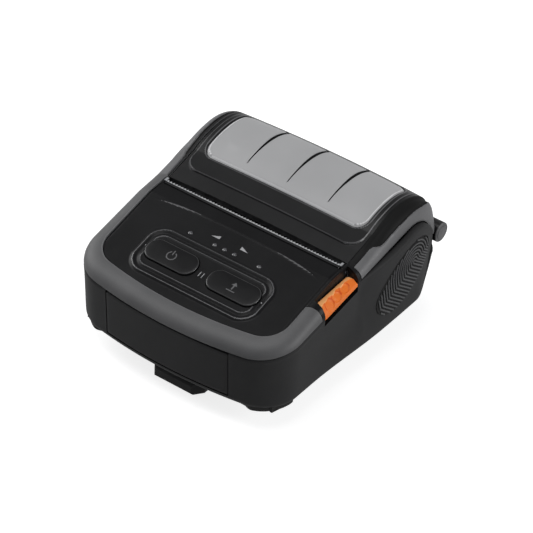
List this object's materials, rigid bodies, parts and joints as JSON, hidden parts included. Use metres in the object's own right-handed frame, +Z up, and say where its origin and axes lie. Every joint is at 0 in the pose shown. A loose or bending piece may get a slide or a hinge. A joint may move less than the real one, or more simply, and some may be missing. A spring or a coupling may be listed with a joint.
{
  "type": "portable receipt printer",
  "caption": "Battery-powered belt receipt printer: domed paper lid with a clear window, tear bar, sloped key panel, lid release, side grips, belt clip and an internal thermal print mechanism.",
  "frame": {"origin": "centre of the bounding box in plan, on the underside of the belt clip that the printer rests on", "axes": "+X to the right seen from the front, +Y from the front with the battery to the lid hinge at the back, +Z up"},
  "size_m": [0.1052, 0.1142, 0.0592],
  "materials": {
    "case_plastic": "fine satin texture",
    "grip_rubber": "ribbed soft-touch",
    "bezel_plastic": "fine satin texture",
    "panel_plastic": "satin",
    "button_plastic": "satin",
    "frame_plastic": "satin",
    "clip_plastic": "satin",
    "orange_plastic": "satin",
    "window_plastic": "clear",
    "lens_plastic": "glossy",
    "circuit_board": "glossy",
    "connector_plastic": "glossy",
    "sheet_steel": "brushed",
    "turned_steel": "polished",
    "spring_steel": "bright",
    "gear_plastic": "satin",
    "brass": "bright",
    "ceramic": "glazed",
    "aluminium": "matte",
    "roller_rubber": "matte"
  },
  "bodies": {
    "base": {"lower_case": "case_plastic", "side_grips": "grip_rubber", "corner_feet": "grip_rubber", "top_bezel": "bezel_plastic", "control_panel": "panel_plastic", "indicator_lenses": "lens_plastic", "panel_board": "circuit_board", "main_board": "circuit_board", "tear_bar": "sheet_steel", "mechanism_frame": "sheet_steel", "stepper_motor": "turned_steel", "idler_stud": "turned_steel", "head_pivot_pin": "turned_steel", "head_springs": "spring_steel", "paper_sensor": "connector_plastic", "roll_tray": "frame_plastic", "battery_contacts": "brass", "belt_clip": "clip_plastic", "clip_screws": "turned_steel", "case_screws": "turned_steel", "dc_jack": "connector_plastic", "usb_socket": "sheet_steel", "hinge_pins": "turned_steel", "hinge_caps": "bezel_plastic", "lid_spring": "spring_steel", "release_spring": "spring_steel", "latch_pin": "turned_steel"},
    "lid": {"lid_frame": "frame_plastic", "lid_window": "window_plastic", "lid_cheek_left": "bezel_plastic", "lid_cheek_right": "bezel_plastic", "platen_bracket": "frame_plastic", "platen_bushings": "brass"},
    "platen": {"platen_roller": "roller_rubber", "platen_shaft": "turned_steel", "platen_gear": "gear_plastic"},
    "idler": {"idler_gear": "gear_plastic"},
    "pinion": {"motor_pinion": "brass"},
    "head": {"print_head": "ceramic", "heat_sink": "aluminium"},
    "power_key": {"power_button": "button_plastic"},
    "feed_key": {"feed_button": "button_plastic"},
    "release_key": {"release_button": "orange_plastic"},
    "latch": {"latch_lever": "sheet_steel"},
    "battery": {"battery_pack": "case_plastic"},
    "cover": {"port_cover": "grip_rubber"}
  },
  "joints": [
    {"name": "lid_hinge", "type": "hinge", "parent": "base", "child": "lid", "pos_m": [0, 0.05295, 0.036], "axis": [-1, 0, 0], "range_deg": [0, 90]},
    {"name": "platen_spin", "type": "hinge", "parent": "lid", "child": "platen", "pos_m": [0, 0.00565, 0.0432], "axis": [1, 0, 0], "continuous": true},
    {"name": "idler_spin", "type": "hinge", "parent": "base", "child": "idler", "pos_m": [-0.044, 0.00565, 0.03083], "axis": [1, 0, 0], "continuous": true},
    {"name": "motor_spin", "type": "hinge", "parent": "base", "child": "pinion", "pos_m": [-0.044, -0.00186, 0.02332], "axis": [1, 0, 0], "continuous": true},
    {"name": "head_pivot", "type": "hinge", "parent": "base", "child": "head", "pos_m": [0, -0.00205, 0.0345], "axis": [1, 0, 0], "range_deg": [0, 0.6667], "stiffness_Nm_per_rad": 0.2},
    {"name": "power_press", "type": "slide", "parent": "base", "child": "power_key", "axis": [0, 0.2516, -0.9678], "range_m": [0, 0.0006], "stiffness_N_per_m": 1500, "springref_m": -0.0002},
    {"name": "feed_press", "type": "slide", "parent": "base", "child": "feed_key", "axis": [0, 0.2516, -0.9678], "range_m": [0, 0.0006], "stiffness_N_per_m": 1500, "springref_m": -0.0002},
    {"name": "release_press", "type": "slide", "parent": "base", "child": "release_key", "axis": [0, 0, -1], "range_m": [0, 0.002], "stiffness_N_per_m": 600, "springref_m": -0.0005, "deforming": ["release_spring"]},
    {"name": "latch_turn", "type": "hinge", "parent": "base", "child": "latch", "pos_m": [0.04335, -0.00555, 0.034], "axis": [1, 0, 0], "range_deg": [0, 11.3]},
    {"name": "battery_slide", "type": "slide", "parent": "base", "child": "battery", "axis": [0, -1, 0], "range_m": [0, 0.045]},
    {"name": "cover_hinge", "type": "hinge", "parent": "base", "child": "cover", "pos_m": [-0.0483, -0.03005, 0.0181], "axis": [0, -1, 0], "range_deg": [0, 120]}
  ],
  "couplings": [
    {"joint": "idler_spin", "follows": "motor_spin", "ratio": -0.5},
    {"joint": "platen_spin", "follows": "motor_spin", "ratio": 0.66667},
    {"joint": "latch_turn", "follows": "release_press", "rad_per_m": 98.611}
  ]
}
